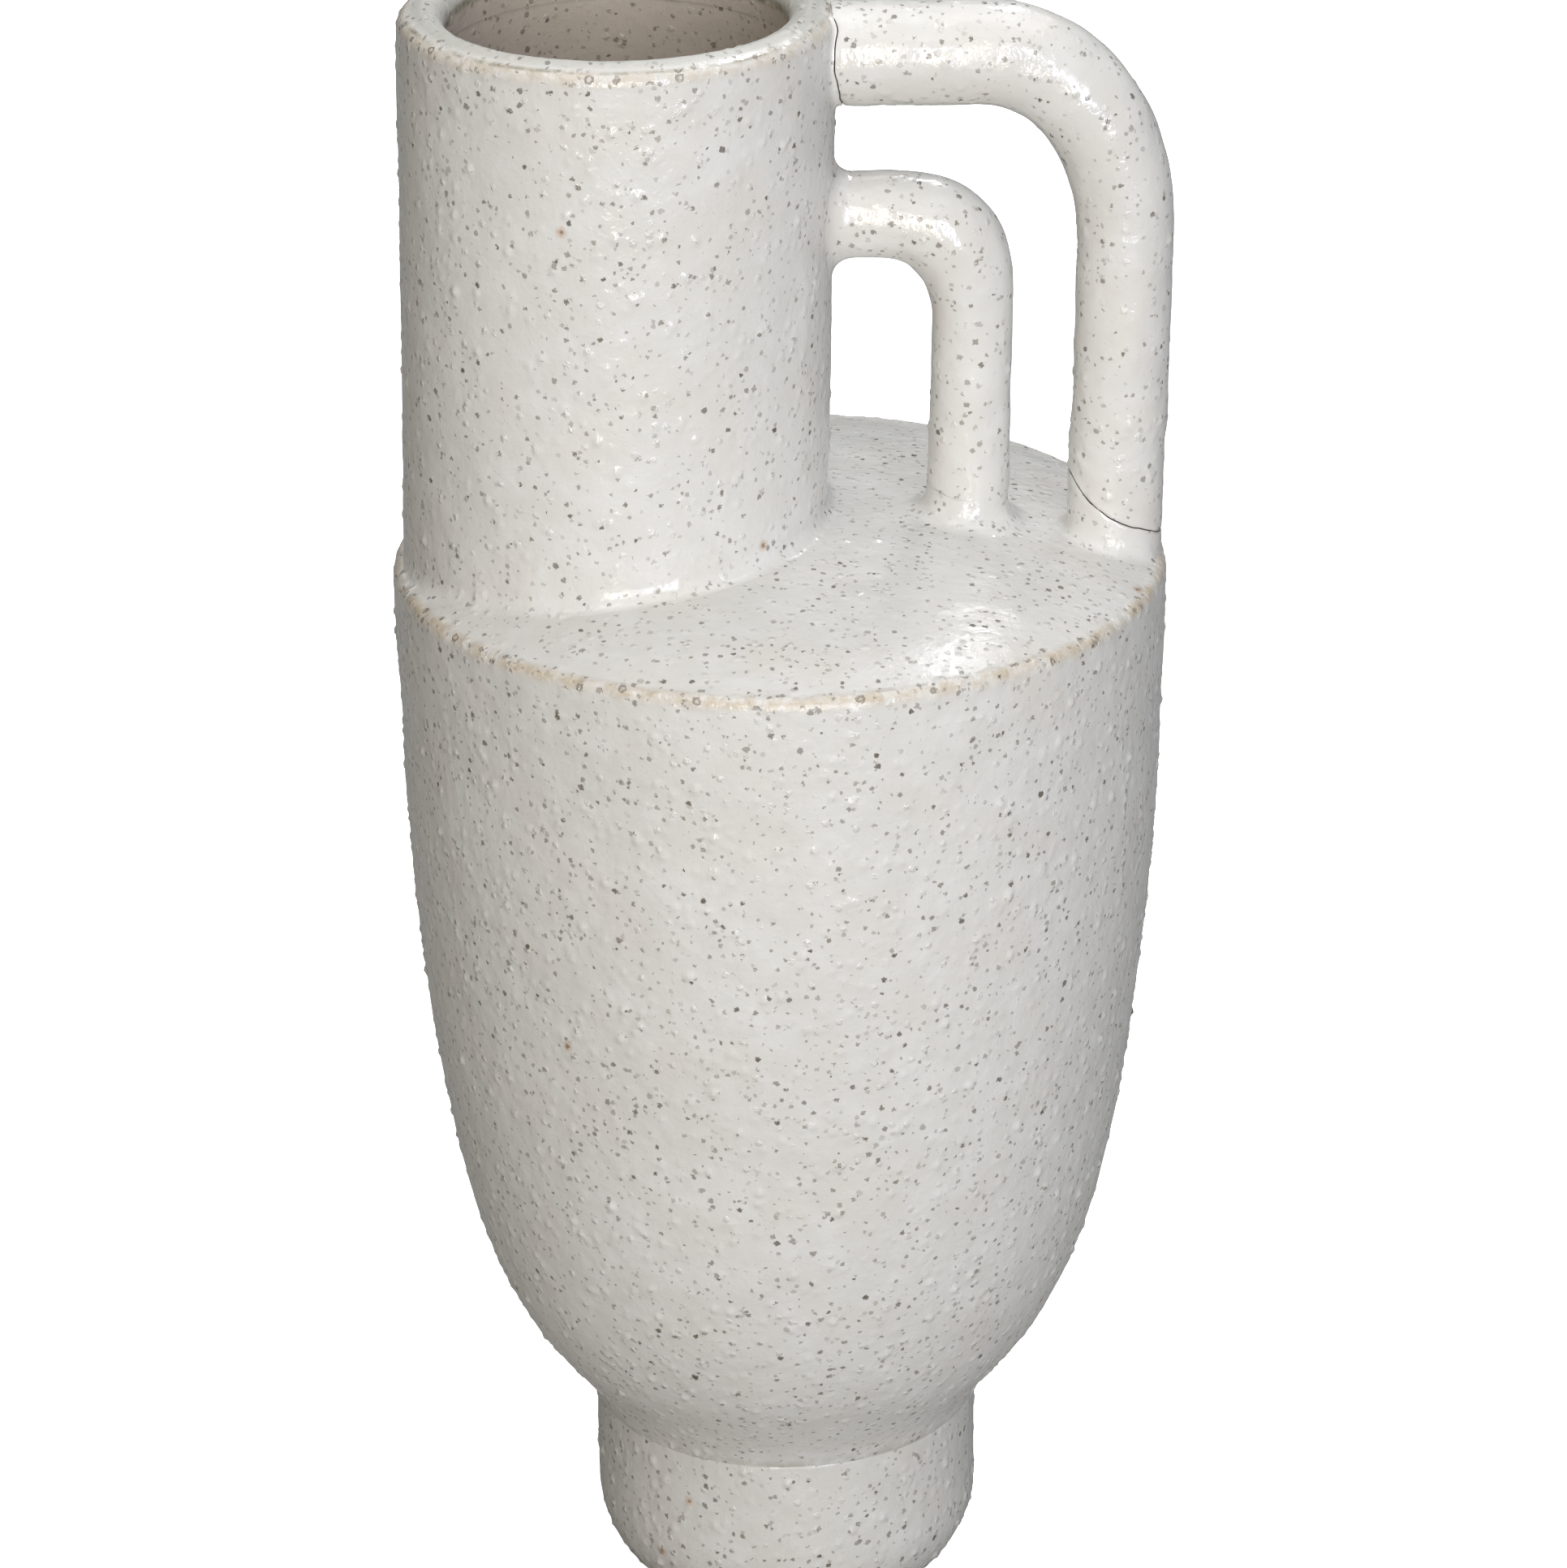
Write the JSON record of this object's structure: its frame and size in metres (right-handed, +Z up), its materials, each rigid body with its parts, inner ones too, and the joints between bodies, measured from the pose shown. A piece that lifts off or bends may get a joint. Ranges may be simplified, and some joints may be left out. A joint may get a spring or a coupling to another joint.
{
  "type": "handled vase",
  "caption": "Tall stoneware vase with a footed ogive body, a crisp domed shoulder, a straight offset neck and nested loop handles, for holding stems or standing as decoration.",
  "frame": {"origin": "centre of the foot, on the plane the vase stands on", "axes": "+Z up along the body axis; the neck is offset towards -X and the handles stand towards +X, all in the plane y = 0; -Y is the front"},
  "size_m": [0.182, 0.182, 0.4055],
  "materials": {
    "glaze": "gloss",
    "bare_clay": "matte"
  },
  "bodies": {
    "root": {"foot_ring": "glaze", "floor_disc": "bare_clay", "body_wall": "glaze", "shoulder_disc": "glaze", "neck_wall": "glaze", "lip_coil": "glaze", "neck_coil": "glaze", "outer_handle": "glaze", "inner_handle": "glaze", "outer_neck_coil": "glaze", "outer_leg_stub": "glaze", "inner_neck_coil": "glaze", "inner_leg_coil": "glaze"}
  },
  "joints": []
}
